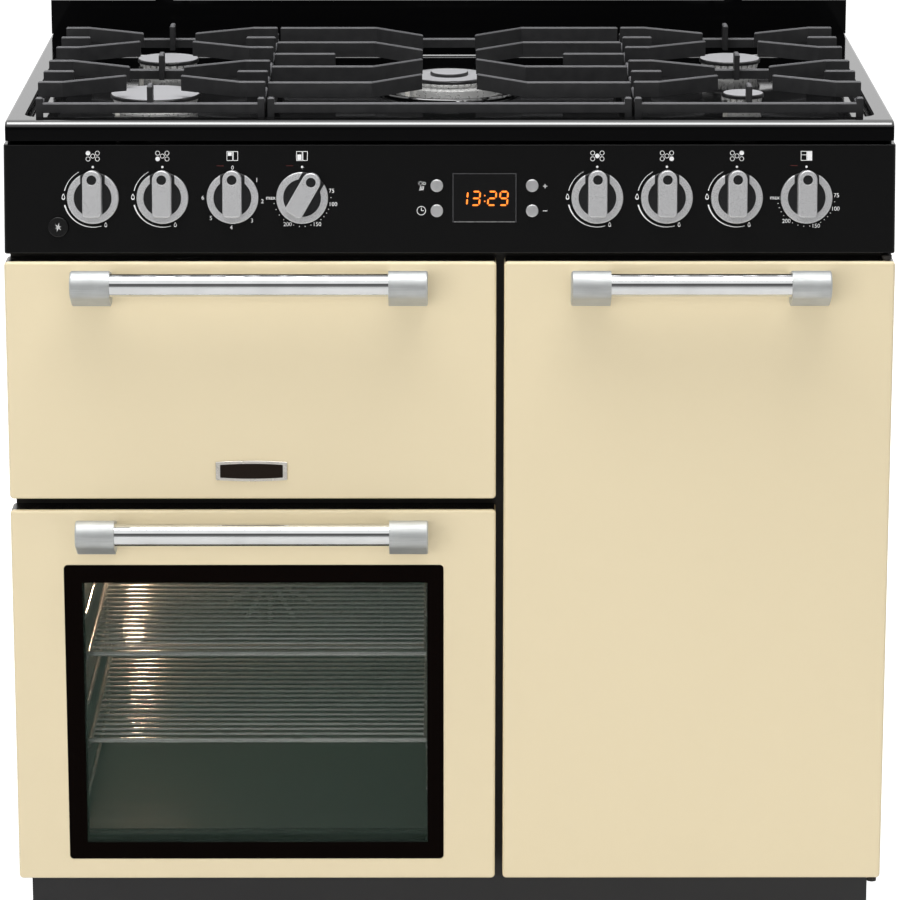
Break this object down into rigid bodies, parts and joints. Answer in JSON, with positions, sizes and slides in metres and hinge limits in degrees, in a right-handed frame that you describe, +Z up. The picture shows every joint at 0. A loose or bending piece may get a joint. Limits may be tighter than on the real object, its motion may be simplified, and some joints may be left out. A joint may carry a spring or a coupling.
{
  "type": "dual fuel range cooker",
  "caption": "Free-standing range cooker with a gas hob under a folding glass lid, a fascia of knobs, a grill, a glazed main oven and a tall side oven.",
  "frame": {"origin": "on the floor, under the middle of the cooker's box", "axes": "+Z up, -Y out of the front, +X to the right as one faces the front"},
  "size_m": [0.898, 0.6464, 1.494],
  "materials": {
    "casing_enamel": "satin black enamel",
    "zinc_sheet": "dull zinc-coated steel",
    "foot_plastic": "moulded nylon over a steel screw",
    "door_enamel": "gloss cream enamel",
    "inner_door_enamel": "dark vitreous enamel",
    "handle_chrome": "polished",
    "bracket_metal": "satin, cast",
    "door_glass": "lightly tinted heat-resistant glass",
    "seal_rubber": "soft seal",
    "liner_enamel": "speckled dark vitreous enamel",
    "plated_wire": "bright plated wire",
    "pan_enamel": "gloss black enamel",
    "element_sheath": "heat-dulled steel tube",
    "fan_metal": "pressed sheet",
    "motor_metal": "plain steel can",
    "hob_enamel": "gloss black enamel",
    "burner_aluminium": "satin cast aluminium",
    "burner_cap_enamel": "matt black enamel",
    "electrode_ceramic": "white glazed ceramic",
    "support_iron": "matt black enamelled",
    "lid_glass": "black-backed toughened glass",
    "hinge_steel": "plated steel",
    "fascia_enamel": "gloss black enamel",
    "window_black": "clear black display window",
    "housing_plastic": "moulded",
    "tap_brass": "machined",
    "pipe_metal": "drawn tube",
    "knob_metal": "satin plated grip and ring, black dish",
    "timer_button_metal": "satin plated",
    "spark_button_plastic": "black"
  },
  "bodies": {
    "cooker": {"outer_panels": "casing_enamel", "base_tray": "zinc_sheet", "levelling_feet": "foot_plastic", "plinth": "casing_enamel", "front_frame": "casing_enamel", "hob_top": "hob_enamel", "rear_upstand": "hob_enamel", "control_fascia": "fascia_enamel", "timer_window": "window_black", "burner_bodies": "burner_aluminium", "burner_caps": "burner_cap_enamel", "ignition_electrodes": "electrode_ceramic", "gas_taps": "tap_brass", "gas_rail": "pipe_metal", "burner_pipes": "pipe_metal", "control_housings": "housing_plastic", "main_oven_liner": "liner_enamel", "grill_liner": "liner_enamel", "tall_oven_liner": "liner_enamel", "wire_shelves": "plated_wire", "side_racks": "plated_wire", "grill_pan": "pan_enamel", "heating_elements": "element_sheath", "fan_covers": "liner_enamel", "fan_motors": "motor_metal", "door_seals": "seal_rubber", "terminal_block": "housing_plastic"},
    "lid": {"lid_glass": "lid_glass", "lid_hinges": "hinge_steel"},
    "grill_door": {"grill_door_panel": "door_enamel", "grill_door_inner": "inner_door_enamel", "grill_handle_bar": "handle_chrome", "grill_handle_brackets": "bracket_metal"},
    "oven_door": {"oven_door_panel": "door_enamel", "oven_door_glass": "door_glass", "oven_door_inner": "inner_door_enamel", "oven_handle_bar": "handle_chrome", "oven_handle_brackets": "bracket_metal"},
    "tall_door": {"tall_door_panel": "door_enamel", "tall_door_inner": "inner_door_enamel", "tall_handle_bar": "handle_chrome", "tall_handle_brackets": "bracket_metal"},
    "main_fan": {"main_oven_fan": "fan_metal"},
    "tall_fan": {"tall_oven_fan": "fan_metal"},
    "left_support": {"left_pan_support": "support_iron"},
    "centre_support": {"centre_pan_support": "support_iron"},
    "right_support": {"right_pan_support": "support_iron"},
    "rear_left_burner_knob": {"knob_rear_left_burner": "knob_metal"},
    "front_left_burner_knob": {"knob_front_left_burner": "knob_metal"},
    "grill_knob": {"knob_grill": "knob_metal"},
    "main_oven_knob": {"knob_main_oven": "knob_metal"},
    "wok_burner_knob": {"knob_wok_burner": "knob_metal"},
    "front_right_burner_knob": {"knob_front_right_burner": "knob_metal"},
    "rear_right_burner_knob": {"knob_rear_right_burner": "knob_metal"},
    "tall_oven_knob": {"knob_tall_oven": "knob_metal"},
    "timer_mode_button_body": {"timer_mode_button": "timer_button_metal"},
    "timer_clock_button_body": {"timer_clock_button": "timer_button_metal"},
    "timer_plus_button_body": {"timer_plus_button": "timer_button_metal"},
    "timer_minus_button_body": {"timer_minus_button": "timer_button_metal"},
    "spark_button_body": {"spark_button": "spark_button_plastic"}
  },
  "joints": [
    {"name": "lid_fold", "type": "hinge", "parent": "cooker", "child": "lid", "pos_m": [0, 0.31325, 0.949], "axis": [-1, 0, 0], "range_deg": [-90, 0]},
    {"name": "grill_door_drop", "type": "hinge", "parent": "cooker", "child": "grill_door", "pos_m": [-0.201, -0.26075, 0.528], "axis": [1, 0, 0], "range_deg": [0, 90]},
    {"name": "oven_door_drop", "type": "hinge", "parent": "cooker", "child": "oven_door", "pos_m": [-0.201, -0.26075, 0.118], "axis": [1, 0, 0], "range_deg": [0, 90]},
    {"name": "tall_door_swing", "type": "hinge", "parent": "cooker", "child": "tall_door", "pos_m": [0.441, -0.26875, 0.4315], "axis": [0, 0, 1], "range_deg": [0, 100]},
    {"name": "main_fan_spin", "type": "hinge", "parent": "cooker", "child": "main_fan", "pos_m": [-0.201, 0.16, 0.3125], "axis": [0, 1, 0], "continuous": true},
    {"name": "tall_fan_spin", "type": "hinge", "parent": "cooker", "child": "tall_fan", "pos_m": [0.252, 0.16, 0.44], "axis": [0, 1, 0], "continuous": true},
    {"name": "left_support_lift", "type": "slide", "parent": "cooker", "child": "left_support", "axis": [0, 0, 1], "range_m": [0, 0.04]},
    {"name": "centre_support_lift", "type": "slide", "parent": "cooker", "child": "centre_support", "axis": [0, 0, 1], "range_m": [0, 0.04]},
    {"name": "right_support_lift", "type": "slide", "parent": "cooker", "child": "right_support", "axis": [0, 0, 1], "range_m": [0, 0.04]},
    {"name": "rear_left_burner_knob_turn", "type": "hinge", "parent": "cooker", "child": "rear_left_burner_knob", "pos_m": [-0.359, -0.26153, 0.823], "axis": [0, -0.9894, 0.1452], "range_deg": [0, 210]},
    {"name": "front_left_burner_knob_turn", "type": "hinge", "parent": "cooker", "child": "front_left_burner_knob", "pos_m": [-0.289, -0.26153, 0.823], "axis": [0, -0.9894, 0.1452], "range_deg": [0, 210]},
    {"name": "grill_knob_turn", "type": "hinge", "parent": "cooker", "child": "grill_knob", "pos_m": [-0.2185, -0.26153, 0.823], "axis": [0, -0.9894, 0.1452], "range_deg": [-270, 0]},
    {"name": "main_oven_knob_turn", "type": "hinge", "parent": "cooker", "child": "main_oven_knob", "pos_m": [-0.1485, -0.26153, 0.823], "axis": [0, -0.9894, 0.1452], "range_deg": [-240, 30]},
    {"name": "wok_burner_knob_turn", "type": "hinge", "parent": "cooker", "child": "wok_burner_knob", "pos_m": [0.1485, -0.26153, 0.823], "axis": [0, -0.9894, 0.1452], "range_deg": [0, 210]},
    {"name": "front_right_burner_knob_turn", "type": "hinge", "parent": "cooker", "child": "front_right_burner_knob", "pos_m": [0.2185, -0.26153, 0.823], "axis": [0, -0.9894, 0.1452], "range_deg": [0, 210]},
    {"name": "rear_right_burner_knob_turn", "type": "hinge", "parent": "cooker", "child": "rear_right_burner_knob", "pos_m": [0.289, -0.26153, 0.823], "axis": [0, -0.9894, 0.1452], "range_deg": [0, 210]},
    {"name": "tall_oven_knob_turn", "type": "hinge", "parent": "cooker", "child": "tall_oven_knob", "pos_m": [0.359, -0.26153, 0.823], "axis": [0, -0.9894, 0.1452], "range_deg": [-270, 0]},
    {"name": "timer_mode_button_press", "type": "slide", "parent": "cooker", "child": "timer_mode_button_body", "axis": [0, 0.9894, -0.1452], "range_m": [0, 0.0025], "stiffness_N_per_m": 400},
    {"name": "timer_clock_button_press", "type": "slide", "parent": "cooker", "child": "timer_clock_button_body", "axis": [0, 0.9894, -0.1452], "range_m": [0, 0.0025], "stiffness_N_per_m": 400},
    {"name": "timer_plus_button_press", "type": "slide", "parent": "cooker", "child": "timer_plus_button_body", "axis": [0, 0.9894, -0.1452], "range_m": [0, 0.0025], "stiffness_N_per_m": 400},
    {"name": "timer_minus_button_press", "type": "slide", "parent": "cooker", "child": "timer_minus_button_body", "axis": [0, 0.9894, -0.1452], "range_m": [0, 0.0025], "stiffness_N_per_m": 400},
    {"name": "spark_button_press", "type": "slide", "parent": "cooker", "child": "spark_button_body", "axis": [0, 0.9894, -0.1452], "range_m": [0, 0.0025], "stiffness_N_per_m": 400}
  ]
}
